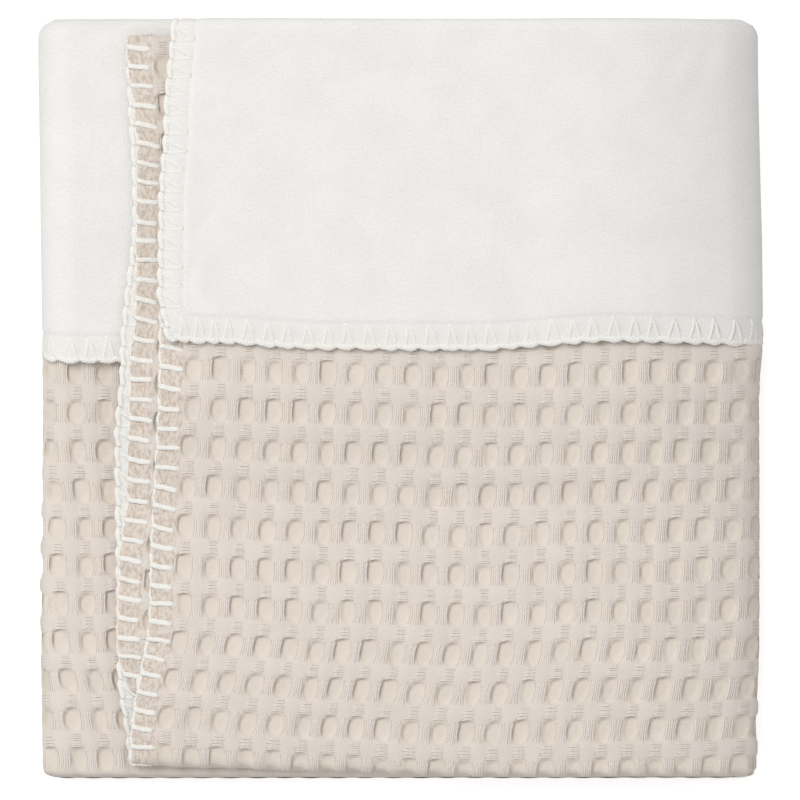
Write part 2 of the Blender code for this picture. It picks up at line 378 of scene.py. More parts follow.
def place(w, v, n):
    """The points of the folded pack that lie at w and v on the cloth, and n out of it."""
    w, v = scalloped(np.asarray(w, float), np.asarray(v, float))
    w, v, n = np.broadcast_arrays(w, v, np.asarray(n, float))
    row = section(v)
    width = spans(row)
    thick = stack_thickness(row.y)
    y = row.y + n * row.out_y
    height = row.height + n * row.out_height
    turn = np.maximum(width.right_turn - width.front, 1e-6)

    x_front = row.edge + w
    at = np.clip(x_front, -1.0, width.right)
    ahead, behind = (front_floor(at + x, row.y, width.right) for x in (PITCH, -PITCH))
    slope = (ahead - behind) / (2 * PITCH)
    pressed_width = width.right - PRESSED_FROM
    pressed = np.clip((at - PRESSED_FROM) / pressed_width, 0.0, 1.0)
    press = 1.0 - PRESSED * pressed**2
    nearest = np.minimum(w, np.where(row.level > 3.0, v, EDGE_SINK_REACH))
    sunk = EDGE_SINKS * (1.0 - smooth(nearest / EDGE_SINK_REACH)) * (1.0 - smooth(pressed))
    sunk = sunk * np.clip(row.level - 0.5, 0.0, 1.0)
    z_front = front_floor(at, row.y, width.right) + press * height * np.hypot(1.0, slope) - sunk
    hem_front, bottom_front = look_up(FRONT_SHIFT, at, 1), look_up(FRONT_SHIFT, at, 2)

    angle, share = fold_angle(w, width.front, turn)
    x_right = width.right + height * np.sin(angle)
    last_slope = 2.0 * thick / (width.right - SAG_START)
    lean = mix(np.hypot(1.0, last_slope), 1.0, share)
    press = (1.0 - PRESSED * (1.0 - share)) * lean
    droop = (2.0 * PRESSED * height / pressed_width + last_slope) * (1.0 - share)
    z_turned = height * (press * np.cos(angle) - droop * np.sin(angle))
    z_right = thick + z_turned + swell(width.right, row.y) * (1.0 - share)
    hem_right = mix(FRONT_SHIFT[-1][1], UNDER_SHIFT[0], share**3)
    bottom_right = mix(FRONT_SHIFT[-1][2], UNDER_SHIFT[1], share)

    x_under = width.right - (w - width.right_turn)
    z_under = thick - height

    angle, share = fold_angle(w, width.under, turn)
    x_left = width.left - height * np.sin(angle)
    z_left = thick - height * np.cos(angle) + swell(width.left, row.y) * share
    hem_left = mix(UNDER_SHIFT[0], SIDE_SHIFT[0], share)
    bottom_left = mix(UNDER_SHIFT[1], SIDE_SHIFT[1], share)

    x_side = width.left + (w - width.left_turn)
    z_side = thick + height + swell(x_side, row.y)

    panel = [w < width.front, w < width.right_turn, w < width.under, w < width.left_turn]
    x = np.select(panel, [x_front, x_right, x_under, x_left], x_side)
    z = np.select(panel, [z_front, z_right, z_under, z_left], z_side)
    hem = np.select(panel, [hem_front, hem_right, UNDER_SHIFT[0], hem_left], SIDE_SHIFT[0])
    bottoms = [bottom_front, bottom_right, UNDER_SHIFT[1], bottom_left]
    bottom = np.select(panel, bottoms, SIDE_SHIFT[1])
    low = np.maximum((LOW_FROM - row.y) / (LOW_FROM - BOTTOM_CENTRE), 0.0)
    z = z * (1.0 - LOW * low**2)
    y = y + row.hem_share * hem + row.bottom_share * bottom
    return np.stack([x, y, z - (PITCH - CLOTH) / 2], axis=-1)


# ---- The weave on the cloth ----
def column_w(c, v):
    """w of the weave's columns at v."""
    row = section(v)
    width = spans(row)
    wobble = COLUMN_WANDERS * waves(c, v / ROW, 1.3) * smooth((c - EDGE_COLUMN) / 2.0)
    front = (c + wobble - EDGE_COLUMN) * COLUMN
    side_at = look_up(SIDE_COLUMN_AT, row.y)
    side = width.left_turn + side_at - width.left + (c + wobble - SIDE_COLUMN) * COLUMN
    return mix(front, side, ramp(c, SIDE_SHEAR_FROM, SIDE_SHEAR_WHOLE))


def row_v(c, r):
    """v of the weave's rows at column c."""
    on_side = ramp(c, SIDE_BOW_FROM, SIDE_BOW_WHOLE)
    bow = mix(look_up(ROW_BOW, c), look_up(SIDE_BOW, r), on_side)
    return ROW_ZERO_V + (r - bow + ROW_WANDERS * waves(c, r, 4.1)) * ROW


def band_share(distance):
    """1 in the stitched band along a cut edge, and 0 inside it."""
    return 1.0 - ramp(distance, BAND_INNER, BAND_OUTER)


def ridge_height(c, r):
    """How far the waffle's ridges stand out of the cloth, highest at the nodes where they cross."""
    fx, fy = c - np.round(c), r - np.round(r)
    node = np.exp(-(((fx / NODE_HALF_WIDTH) ** 2 + (fy / NODE_HALF_HEIGHT) ** 2) ** 2))
    round_off = np.minimum(np.abs(fx) / RIDGE_HALF_WIDTH, np.abs(fy) / RIDGE_HALF_WIDTH)
    ridge = RIDGE_TOP - RIDGE_ROUND * np.minimum(round_off, 1.2) ** 2
    top = NODE_TOP - RIDGE_ROUND * ((fx / NODE_ROUND_WIDTH) ** 2 + (fy / NODE_ROUND_HEIGHT) ** 2)
    return mix(ridge, top, node) + RIDGE_UNEVEN * waves(2.3 * c, 2.9 * r, 0.6)


def relief(c, r):
    """How far the waffle stands out of the cloth in a cell, and how deep in one of the crevices it
    is, a share that both deepens the floor there and sets the painted shade in it.
    """
    i, j = np.floor(c), np.floor(r)
    across = c - i - 0.5 + PIT_STRAYS[0] * (chance(i, j, 1.0) - 0.5)
    along = r - j - 0.5 + PIT_STRAYS[1] * (chance(i, j, 3.0) - 0.5)
    across = across / (PIT_HALF_WIDTH * mix(*PIT_WIDTHS, chance(i, j, 2.0)))
    along = along / (PIT_HALF_HEIGHT * mix(*PIT_HEIGHTS, chance(i, j, 4.0)))
    across = across + PIT_SLANT * along * (chance(i, j, 8.0) - 0.5)
    square = mix(PIT_HEAD_SQUARENESS, PIT_FOOT_SQUARENESS, smooth(along * 0.9 + 0.35))
    away = (np.abs(across) ** square + np.abs(along) ** square) ** (1 / square)
    steep = smooth(0.5 - STEEP_ACROSS * across - STEEP_ALONG * along)
    wall_from, wall_to = mix(*PIT_WALL_FROM, steep), mix(*PIT_WALL_TO, steep)
    wall = ramp(away, wall_from, wall_to)
    crevice_and_painted_shade = steep * hump(away, CREVICE_AT, CREVICE_HALF_WIDTH)
    floor = PIT_FLOOR + FLOOR_VARIES * (chance(i, j, 5.0) - 0.5)
    floor = floor + FLOOR_CROWN * np.exp(-(away**2) * 3.0)
    floor = floor + FLOOR_UNEVEN * waves(5.1 * c, 6.3 * r, 1.9) - CREVICE_DEPTH * crevice_and_painted_shade
    return mix(floor, ridge_height(c, r), wall), crevice_and_painted_shade


def rolled(distance):
    """1 at a cut edge, where the stitches roll the cloth over, and 0 inside it."""
    return 1.0 - smooth(distance / ROLL_LENGTH)


def band_relief(c, r, distance, phase):
    """How far the waffle stands out in the stitched band, where the yarn pulls it down."""
    between = scallop(phase)
    dent = hump(distance, DENT_AT, DENT_HALF_WIDTH)
    crumple = BAND_CRUMPLE * waves(phase * 4.1, distance / 0.0017, 2.2)
    kept = BAND_RELIEF_SHARE * (relief(c, r)[0] - BAND_HEIGHT)
    return BAND_HEIGHT + kept + BAND_PUFF * between - BAND_DENT * dent * between + crumple


def waffle_height(c, r, w, v):
    """How far the waffle stands out of the cloth, and how deep in one of the crevices it is, as the
    share of painted shade there.
    """
    distance, phase = edge_distance(w, v)
    height, crevice_and_painted_shade = relief(c, r)
    band = band_share(distance)
    n = mix(height, band_relief(c, r, distance, phase), band)
    return n - WAFFLE_ROLL * rolled(distance), crevice_and_painted_shade * (1.0 - band)


def inner_w(v):
    """w of the edge that is tucked inside."""
    row = section(v)
    return spans(row).whole - math.pi * PITCH * row.level


# ---- The cut edges ----
def stitch_table(table, uneven):
    """Places along an edge, and how many stitches lie before each."""
    places, numbers = np.array(table).T
    at = np.linspace(places[0], places[-1], 5000)
    even = np.interp(at, places, numbers)
    return at, even + uneven * (np.sin(2.1 * even) + 0.7 * np.sin(0.77 * even + 1.0))


FRONT_TABLE = stitch_table(FRONT_STITCHES, FRONT_UNEVEN)
HEM_TABLE = stitch_table(HEM_STITCHES, HEM_UNEVEN)


def front_phase(v):
    return np.interp(v, *FRONT_TABLE)


def hem_phase(w):
    return np.interp(w, *HEM_TABLE)


def stitches_between(table, first, last):
    """The places of an edge's stitches between two places on it."""
    lowest, highest = math.ceil(np.interp(first, *table)), math.floor(np.interp(last, *table))
    return np.interp(np.arange(lowest, highest + 1), table[1], table[0])


def scallop(phase):
    """0 at each stitch, and 1 midway between two."""
    return np.abs(np.sin(math.pi * phase)) ** 0.8


def corner_inset(at):
    """How far the cloth's cut corner is rounded in, at a distance along its edge."""
    left = CUT_CORNER - np.clip(at, 0.0, CUT_CORNER)
    return CUT_CORNER - np.sqrt(CUT_CORNER**2 - left**2)


def scalloped(w, v):
    """w and v of points of the cloth once the stitches draw in its edges."""
    left = CLOTH_LENGTH - v
    beside, before, behind = (np.exp(-np.maximum(x, 0.0) / SCALLOP_FADES) for x in (w, v, left))
    front = FRONT_SCALLOP * (1.0 - scallop(front_phase(v)))
    drawn_in = front + corner_inset(v) + corner_inset(left)
    hem = HEM_SCALLOP * (1.0 - scallop(hem_phase(w))) - HEM_PROUD
    return w + drawn_in * beside, v + hem * (before - behind)


def edge_distance(w, v):
    """How far a point is from the nearest cut edge, and the number of the stitch beside it."""
    ways = np.stack(np.broadcast_arrays(w, v, inner_w(v) - w, CLOTH_LENGTH - v))
    nearest = ways.argmin(axis=0)
    beside = np.where(nearest == 2, v / STITCH_SPACING, hem_phase(w))
    return ways.min(axis=0), np.where(nearest == 0, front_phase(v), beside)


# ---- Meshes ----
def add_object(name, data, location=(0.0, 0.0, 0.0)):
    thing = bpy.data.objects.new(name, data)
    thing.location = location
    bpy.context.scene.collection.objects.link(thing)
    return thing


def link(name, mesh, finish):
    piece = add_object(name, mesh)
    mesh.materials.append(finish.material)
    mesh.shade_smooth()
    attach(piece, "root")
    return piece


def new_mesh(name, points, uv, quads, triangles=None):
    """A mesh of quads and triangles, none of it below the floor; uv has one pair for each point."""
    faces = [quads] if triangles is None else [quads, triangles]
    corners = np.concatenate([x.ravel() for x in faces])
    sizes = np.concatenate([np.full(len(x), x.shape[1]) for x in faces])
    starts = np.concatenate([[0], np.cumsum(sizes)[:-1]])
    points[:, 2] = np.maximum(points[:, 2], 0.0)
    mesh = bpy.data.meshes.new(name)
    mesh.vertices.add(len(points))
    mesh.vertices.foreach_set("co", np.ascontiguousarray(points, dtype=np.float32).ravel())
    mesh.loops.add(len(corners))
    mesh.loops.foreach_set("vertex_index", corners.astype(np.int32))
    mesh.polygons.add(len(sizes))
    mesh.polygons.foreach_set("loop_start", starts.astype(np.int32))
    layer = mesh.uv_layers.new(name="cloth")
    layer.data.foreach_set("uv", uv[corners].astype(np.float32).ravel())
    mesh.update(calc_edges=True)
    mesh.validate()
    return mesh


def grid_quads(rows, columns, flip):
    at = np.arange(rows * columns).reshape(rows, columns)
    corners = [at[:-1, :-1], at[:-1, 1:], at[1:, 1:], at[1:, :-1]]
    if flip:
        corners.reverse()
    return np.stack([x.ravel() for x in corners], axis=-1)


def cloth_piece(name, w, v, n, uv, cloth, crevice_and_painted_shade=None):
    """A sheet of one of the two cloths, on a grid of points of it."""
    points = place(w, v, n).reshape(-1, 3)
    mesh = new_mesh(name, points, uv.reshape(-1, 2), grid_quads(*w.shape, cloth.flip))
    marks = {"band": band_share(edge_distance(w, v)[0])}
    # The waffle's share of painted shade in its crevices, kept at each point for its colour
    if crevice_and_painted_shade is not None:
        marks["crevice_and_painted_shade"] = crevice_and_painted_shade
    for mark, values in marks.items():
        layer = mesh.attributes.new(mark, "FLOAT", "POINT")
        layer.data.foreach_set("value", values.astype(np.float32).ravel())
    piece = link(name, mesh, cloth)
    return piece


def spread(stops, per_unit):
    """Numbers from stop to stop, with so many to a unit."""
    lines = [np.array(stops[:1], float)]
    for first, last in zip(stops, stops[1:]):
        count = max(1, round(abs(last - first) * per_unit))
        lines.append(np.linspace(first, last, count + 1)[1:])
    return np.concatenate(lines)


# Where a cell's grid lines lie, so that they are closer together on the walls of its pit.
# Columns: share of the cell, share of the lines
CELL_LINES = ((0.0, 0.0), (0.12, 0.10), (0.26, 0.35), (0.74, 0.65), (0.88, 0.90), (1.0, 1.0))
EDGE_LINES = EDGE_COLUMN + np.array((0.02, 0.045, 0.07, 0.10, 0.14, 0.19))


def weave_lines(first, last, per_cell):
    """Grid lines from first to last, counted in cells."""
    places, shares = np.array(CELL_LINES).T
    fractions = np.interp(np.arange(per_cell) / per_cell, shares, places)
    lines = (np.arange(math.floor(first), math.ceil(last))[:, None] + fractions).ravel()
    if first == EDGE_COLUMN:
        lines = np.sort(np.concatenate([lines, EDGE_LINES]))
    return np.concatenate([[first], lines[(lines > first + 1e-4) & (lines < last - 1e-4)], [last]])


Patch = namedtuple("Patch", "name columns rows across along")
# The waffle where it shows, with its relief. Columns: name, first and last column of cells,
# first and last row, steps across and along a cell.
FACE_ROWS = (-2.0, 9.0)
PATCHES = (
    ("waffle_front_left", (EDGE_COLUMN, 12.0), FACE_ROWS, 17, 24),
    ("waffle_front_right", (12.0, 23.0), FACE_ROWS, 17, 24),
    ("waffle_right_turn", (23.0, 26.0), FACE_ROWS, 14, 20),
    ("waffle_underside", (26.0, 47.0), FACE_ROWS, 8, 12),
    ("waffle_left_turn", (47.0, 49.0), FACE_ROWS, 14, 20),
    ("waffle_left_panel", (49.0, 53.0), FACE_ROWS, 17, 24),
    ("waffle_bottom_fold", (EDGE_COLUMN, 60.0), (9.0, 10.0), 12, 18),
    ("waffle_tail_edge", (EDGE_COLUMN, 3.0), (28.0, 44.0), 14, 18),
)
# The rest, flat because other layers hide it. None stands for the cloth's own edge.
HIDDEN_PATCHES = (
    ("waffle_under_flap", (EDGE_COLUMN, None), (None, -2.0), 4, 2),
    ("waffle_inner_side", (53.0, None), FACE_ROWS, 4, 2),
    ("waffle_inner_fold", (60.0, None), (9.0, 10.0), 4, 22),
    ("waffle_fold_end", (EDGE_COLUMN, None), (10.0, 11.0), 4, 22),
    ("waffle_return", (EDGE_COLUMN, None), (11.0, 28.0), 3, 2),
    ("waffle_tail_fold", (3.0, None), (28.0, 29.0), 4, 22),
    ("waffle_tail", (3.0, None), (29.0, 44.0), 4, 2),
    ("waffle_tail_end", (EDGE_COLUMN, None), (44.0, None), 8, 12),
)
# Where a patch that runs to the cloth's own edge starts and ends its count of cells
FIRST_ROW, LAST_ROW, LAST_COLUMN = -17.7, 45.5, 68.6
HIDDEN_HEIGHT = 0.0011


def patch_grid(patch):
    """c, r, w and v on a patch's grid; its lines run into the cloth's edges."""
    (first_column, last_column), (first_row, last_row) = patch.columns, patch.rows
    to_inner, from_hem, to_end = last_column is None, first_row is None, last_row is None
    columns = (first_column, LAST_COLUMN if to_inner else last_column)
    rows = (FIRST_ROW if from_hem else first_row, LAST_ROW if to_end else last_row)
    if to_inner or from_hem or to_end:
        c, r = np.meshgrid(spread(columns, patch.across), spread(rows, patch.along))
    else:
        c, r = np.meshgrid(weave_lines(*columns, patch.across), weave_lines(*rows, patch.along))
    v = row_v(c, r)
    if from_hem:
        v = (v - v[0]) / (v[-1] - v[0]) * v[-1]
    if to_end:
        v = v[0] + (v - v[0]) / (v[-1] - v[0]) * (CLOTH_LENGTH - v[0])
    w = column_w(c, v)
    if to_inner:
        first = w[:, :1]
        share = (c - columns[0]) / (columns[1] - columns[0])
        w = mix(w, first + share * (inner_w(v) - first), smooth(share * 3.0 - 2.0))
    return c, r, w, v


def waffle_patch(row, cloth, shows):
    patch = Patch(*row)
    c, r, w, v = patch_grid(patch)
    n, crevice_and_painted_shade = waffle_height(c, r, w, v) if shows else (hidden_height(w, v), None)
    return cloth_piece(patch.name, w, v, n, np.stack([c, r], -1), cloth, crevice_and_painted_shade)


def hidden_height(w, v):
    distance, _ = edge_distance(w, v)
    return mix(HIDDEN_HEIGHT, BAND_HEIGHT, band_share(distance)) - WAFFLE_ROLL * rolled(distance)


# The flannel: stretches of its length, and how closely each is divided. Columns: name, first
# and last v, steps to a metre along, and steps in the front's band, on the rest of the front,
# on a side turn and on another panel
FlannelPatch = namedtuple("FlannelPatch", "name v along band front turn panel")
FLAP_END_V = FACE_V + 0.004
HEM_LINES = (0.0, 0.0006, 0.0014, *np.linspace(0.0021, 0.0119, 15))
BEND_LINES = (
    *np.linspace(RUN_START["return"] - 0.0095, RUN_START["return"], 14),
    *np.linspace(RUN_START["tail"] - 0.0057, RUN_START["tail"], 10),
)
FLANNEL_PATCHES = (
    FlannelPatch("flannel_flap", (*HEM_LINES, FLAP_END_V), 540, 18, 210, 30, 105),
    FlannelPatch("flannel_inner", (FLAP_END_V, *BEND_LINES, CLOTH_LENGTH), 150, 18, 40, 10, 10),
)
FLANNEL_TILE = 0.010

# Soft troughs in the flannel, and ridges where the depth is below 0. Columns: w and v of the
# middle, degrees from the way of w, half length, half width, depth, and bend to the square metre
Crease = namedtuple("Crease", "w v angle half_length half_width depth bend")
CREASES = (
    (0.0118, 0.0230, 90, 0.0120, 0.0024, 0.00055, -36.0),
    (0.0170, 0.0240, 90, 0.0075, 0.0030, -0.00030, -20.0),
    (0.0175, 0.0480, 48, 0.0080, 0.0026, 0.00032, 0.0),
    (0.0200, 0.0940, 20, 0.0080, 0.0030, 0.00026, 8.0),
    (0.0240, 0.1110, 170, 0.0100, 0.0050, 0.00028, 0.0),
    (0.0900, 0.1090, 1, 0.0600, 0.0060, 0.00030, 0.0),
    (0.2150, 0.1120, 75, 0.0160, 0.0045, 0.00040, 6.0),
    (0.2040, 0.1150, 62, 0.0120, 0.0040, 0.00025, 0.0),
    (0.1500, 0.0500, 95, 0.0500, 0.0200, 0.00040, 0.0),
    (0.0750, 0.0650, 80, 0.0400, 0.0150, -0.00035, 0.0),
    (0.6050, 0.0700, 88, 0.0400, 0.0060, 0.00030, 2.0),
)


def creased(w, v):
    total = 0.0
    for crease in (Crease(*row) for row in CREASES):
        turn = math.radians(crease.angle)
        along = (w - crease.w) * math.cos(turn) + (v - crease.v) * math.sin(turn)
        across = (v - crease.v) * math.cos(turn) - (w - crease.w) * math.sin(turn)
        across = across - crease.bend * along**2
        away = (along / crease.half_length) ** 2 + (across / crease.half_width) ** 2
        total = total + crease.depth * np.exp(-away)
    return total


# The flannel's broad and fine unevenness. In its stitched band it is pulled in, puffs up
# between the stitches, and has a groove at their heads. A place is a distance from the edge
# and a half width.
FLANNEL_SOFT, FLANNEL_FINE = 0.00018, 0.00006
FLANNEL_PULLED_IN = 0.00036
FLANNEL_PUFF, PUFF_PLACE = 0.00030, (0.0052, 0.0026)
FLANNEL_GROOVE, GROOVE_PLACE = 0.00022, (0.0098, 0.0009)


def flannel_height(w, v):
    distance, phase = edge_distance(w, v)
    soft = FLANNEL_SOFT * waves(w / 0.017, v / 0.014, 3.3)
    soft = soft + FLANNEL_FINE * waves(w / 0.0045, v / 0.0050, 5.9)
    puff = FLANNEL_PUFF * scallop(phase) * hump(distance, *PUFF_PLACE)
    groove = FLANNEL_GROOVE * hump(distance, *GROOVE_PLACE)
    band = band_share(distance) * (FLANNEL_PULLED_IN - puff)
    return -CLOTH / 2 + soft + creased(w, v) + band + groove + FLANNEL_ROLL * rolled(distance)


def flannel_patch(patch, cloth):
    v = spread(patch.v, patch.along)[:, None]
    width = spans(section(v))
    band_end = BAND_OUTER + 0.0 * v
    stretches = (
        (0.0 * v, band_end, patch.band),
        (band_end, width.front, patch.front),
        (width.front, width.right_turn, patch.turn),
        (width.right_turn, width.under, patch.panel),
        (width.under, width.left_turn, patch.turn),
        (width.left_turn, inner_w(v), patch.panel),
    )
    lines = [first + (last - first) * np.arange(steps) / steps for first, last, steps in stretches]
    w = np.concatenate([*lines, stretches[-1][1]], axis=1)
    v = np.broadcast_to(v, w.shape)
    uv = np.stack([w, v], -1) / FLANNEL_TILE
    return cloth_piece(patch.name, w, v, flannel_height(w, v), uv, cloth)


# ---- Yarns ----
PLY_DEPTH = 0.10


def unit(vectors):
    return vectors / np.maximum(np.linalg.norm(vectors, axis=-1, keepdims=True), 1e-12)


def yarn_piece(name, strands, sides, plies, finish, capped=True):
    """One mesh of yarns. Each set of strands is w, v, n, half width, half height and twist, with
    a row for each yarn and a column for each ring along it. Yarns whose ends lie inside the
    cloth need no caps."""
    all_points, all_uv, all_quads, all_triangles, base = [], [], [], [], 0
    k = np.arange(sides)
    angle = k / sides * math.tau
    for w, v, n, half_width, half_height, twist in strands:
        count, rings = w.shape
        centre = place(w, v, n)
        out = unit(place(w, v, n + 0.0002) - place(w, v, n - 0.0002))
        ahead = unit(np.gradient(centre, axis=1))
        side = unit(np.cross(ahead, out))
        out = np.cross(side, ahead)
        ply = 1.0 + PLY_DEPTH * np.cos(plies * (angle - twist[..., None]))
        across = (half_width[..., None] * ply * np.cos(angle))[..., None] * side[:, :, None]
        up = (half_height[..., None] * ply * np.sin(angle))[..., None] * out[:, :, None]
        points = (centre[:, :, None] + across + up).reshape(count, -1, 3)
        steps = np.linalg.norm(np.diff(centre, axis=1, prepend=centre[:, :1]), axis=-1)
        along = np.cumsum(steps, axis=1)[..., None] / 0.001
        around = 1.0 - np.abs(angle / math.pi - 1.0)
        uv = np.stack(np.broadcast_arrays(around, along), -1).reshape(count, -1, 2)
        ring, turn = np.meshgrid(np.arange(rings - 1), k, indexing="ij")
        here, there = ring * sides + turn, ring * sides + (turn + 1) % sides
        quads = np.stack([here, there, there + sides, here + sides], -1).reshape(-1, 4)
        last, after = (rings - 1) * sides, (k + 1) % sides
        if capped:
            points = np.concatenate([points, centre[:, :1], centre[:, -1:]], axis=1)
            uv = np.concatenate([uv, uv[:, :1], uv[:, -1:]], axis=1)
        step = points.shape[1]
        starts = base + step * np.arange(count)[:, None, None]
        if capped:
            first_cap = np.stack([np.full(sides, step - 2), after, k], -1)
            last_cap = np.stack([np.full(sides, step - 1), last + k, last + after], -1)
            all_triangles.append((np.concatenate([first_cap, last_cap]) + starts).reshape(-1, 3))
        all_quads.append((quads + starts).reshape(-1, 4))
        all_points.append(points.reshape(-1, 3))
        all_uv.append(uv.reshape(-1, 2))
        base += step * count
    points, uv, quads = (np.concatenate(x) for x in (all_points, all_uv, all_quads))
    triangles = np.concatenate(all_triangles)[:, ::-1] if capped else None
    return link(name, new_mesh(name, points, uv, quads[:, ::-1], triangles), finish)


# The weave's floats: yarns that lie free over the ridges between nodes, along and across the
# cloth. Columns: how many to a bar, their pitch and half length as shares of a cell, how far
# they stand proud of the ridge, half height, half width as a share of the pitch, and how far
# they spread towards the nodes at their first and last end
FloatKind = namedtuple("FloatKind", "count pitch half_length proud half_height half_width fan")
LENGTHWISE = FloatKind(5, 0.072, 0.28, 0.00026, 0.00020, 0.72, (0.10, 0.26))
CROSSWISE = FloatKind(8, 0.043, 0.25, 0.00031, 0.00025, 0.56, (0.10, 0.10))
FLOAT_ENDS_DEEP = 0.00005
# How much narrower a bar's middle may be, and how unevenly its floats lie, in shares of a cell
FLOAT_BUNCH, FLOAT_STRAY, FLOAT_SHIFT, FLOAT_BOW = 0.14, 0.026, 0.012, 0.040
FLOAT_LENGTHS = (0.80, 1.08)
FLOAT_UNEVEN = 0.00006
# How far below the band's cloth they lie, and how much more at a bar's sides
FLOAT_PRESSED, FLOAT_CROWN = 0.00010, 0.000192


def floats(columns, rows, kind, rings):
    """The free yarns over the ridges of a block of cells, as one set of strands."""
    places = [np.arange(*x, dtype=float) for x in (columns, rows, (kind.count,))]
    i, j, k = (x.reshape(-1, 1) for x in np.meshgrid(*places, indexing="ij"))
    k = k - (kind.count - 1) / 2
    t = np.linspace(-1.0, 1.0, rings)[None]
    inside = 1.0 - t**2
    bunch = 1.0 + mix(*kind.fan, (t + 1.0) / 2) * t**2 - FLOAT_BUNCH * chance(i, j, 6.0) * inside
    stray = FLOAT_STRAY * (chance(i, j, 31.0 * k) - 0.5) * inside
    stray = stray + FLOAT_SHIFT * (chance(j, i, 7.0) - 0.5)
    bow = FLOAT_BOW * (chance(i, j, 11.0) - 0.5) * inside
    length = kind.half_length * mix(*FLOAT_LENGTHS, chance(i, j, 17.0 * k))
    if kind is LENGTHWISE:
        c, r = i + kind.pitch * k * bunch + stray + bow, j + 0.5 + length * t
    else:
        c, r = i + 0.5 + length * t, j + kind.pitch * k * bunch + 0.6 * (stray + bow)
    half_width = kind.half_width * kind.pitch * (COLUMN if kind is LENGTHWISE else ROW) * bunch
    v = row_v(c, r)
    w = column_w(c, v)
    half_height = kind.half_height * (1.0 - 0.70 * t**4)
    uneven = FLOAT_UNEVEN * (chance(i, j, 9.0 * k) - 0.5)
    stands = mix(-FLOAT_ENDS_DEEP, kind.proud, inside) + uneven
    n = ridge_height(c, r) + stands - half_height
    pressed = BAND_HEIGHT - FLOAT_PRESSED - FLOAT_CROWN * (2.0 * k / kind.count) ** 2
    n = mix(n, pressed, band_share(edge_distance(w, v)[0]))
    return np.broadcast_arrays(w, v, n, half_width, half_height, 0.0)


# The stitches, and how many rings each kind of yarn has
BAR_RINGS, SLANT_RINGS, LOOP_RINGS = 22, 8, 13
BAR_HALF_WIDTH, BAR_HALF_HEIGHT = 0.00108, 0.00050
# A bar's range of lengths and thicknesses, its start past the edge, its lean and its bends
BAR_LENGTHS, BAR_THICK, BAR_START = (0.92, 1.04), (0.88, 1.10), -0.0007
BAR_LEAN, BAR_LEAN_VARIES, BAR_BEND = 0.0015, 0.0012, 0.00025
# Its height at the edge, over the band's cloth, and how deep it dives at its head
BAR_LOW, BAR_PROUD, BAR_DIVE = -0.0006, 0.00030, 0.00085
SLANT_HALF_WIDTH, SLANT_HALF_HEIGHT = 0.00092, 0.00036
SLANT_SUNK, SLANT_BEND, SLANT_DIVE = 0.00020, 0.00018, 0.00020
SLANT_START, SLANT_LENGTH = 0.0004, BAR_LENGTH - 0.0006
SLANT_LENGTH_VARIES, SLANT_HEAD_STRAYS = 0.0008, 0.0005
# Their two feet at the edge and their shared head, as shares of the way to the next stitch
SLANT_FEET = {"front": (-0.10, 0.66), "hem": (0.15, 0.75)}
SLANT_HEAD = {"front": 0.0, "hem": 0.45}
# The yarn along an edge where the waffle faces up, and where the flannel does
LOOP_HALF_WIDTH, LOOP_HALF_HEIGHT = (0.00105, 0.00140), 0.00084
LOOP_INSET = (0.00055, 0.00080)
LOOP_LOW, LOOP_RISE, LOOP_BULGE, TAIL_LOWERED = 0.00080, 0.00045, 0.00020, 0.00025


def on_edge(edge, along, distance):
    """w and v of a point at a distance from a cut edge, beside a place along it."""
    along, distance = np.broadcast_arrays(along, distance)
    if edge == "front":
        return distance, along
    return along, distance if edge == "hem" else CLOTH_LENGTH - distance


def strand(edge, along, distance, n, half_width, half_height, twist):
    """One set of strands, beside a cut edge."""
    return np.broadcast_arrays(*on_edge(edge, along, distance), n, half_width, half_height, twist)


def bars(edge, stitches):
    """The straight stitches that cross the edge's band on the waffle side."""
    s = stitches[:, None]
    t = np.linspace(0.0, 1.0, BAR_RINGS)[None]
    length = BAR_LENGTH * mix(*BAR_LENGTHS, chance(s * 900, 1.0))
    lean = BAR_LEAN + BAR_LEAN_VARIES * (chance(s * 700, 2.0) - 0.5)
    along = s + lean * (t - 0.1) + BAR_BEND * np.sin(4.0 * t + s * 900)
    distance = BAR_START + (length - BAR_START) * t
    rise, dive = smooth(t / 0.16), smooth((t - 0.88) / 0.12)
    n = mix(BAR_LOW, BAND_HEIGHT + BAR_PROUD, rise) - BAR_DIVE * dive
    thick = mix(*BAR_THICK, chance(s * 500, 3.0)) * (0.86 + 0.14 * rise) * (1.0 - 0.30 * dive)
    sizes = BAR_HALF_WIDTH * thick, BAR_HALF_HEIGHT * thick
    return strand(edge, along, distance, n, *sizes, 4.6 * t + s * 90)


def slants(edge, stitches):
    """The pairs of yarns that show behind the bars, on the flannel side."""
    first = stitches[1:-1, None]
    last = (stitches[:-2] if edge == "hem" else stitches[2:])[:, None]
    t = np.linspace(0.0, 1.0, SLANT_RINGS)[None]
    head = mix(first, last, SLANT_HEAD[edge]) + SLANT_HEAD_STRAYS * (chance(first * 300, 4.0) - 0.5)
    length = SLANT_LENGTH + SLANT_LENGTH_VARIES * (chance(first * 200, 5.0) - 0.5)
    distance = SLANT_START + length * t
    sunk = SLANT_SUNK + SLANT_DIVE * smooth((t - 0.80) / 0.20)
    sets = []
    for foot in SLANT_FEET[edge]:
        along = mix(mix(first, last, foot), head, t)
        along = along + SLANT_BEND * np.sin(3.0 * t + first * 800 + 2.0 * foot)
        n = flannel_height(*on_edge(edge, along, distance)) + sunk
        sets.append(strand(edge, along, distance, n, SLANT_HALF_WIDTH, SLANT_HALF_HEIGHT, 6.0 * t))
    return sets


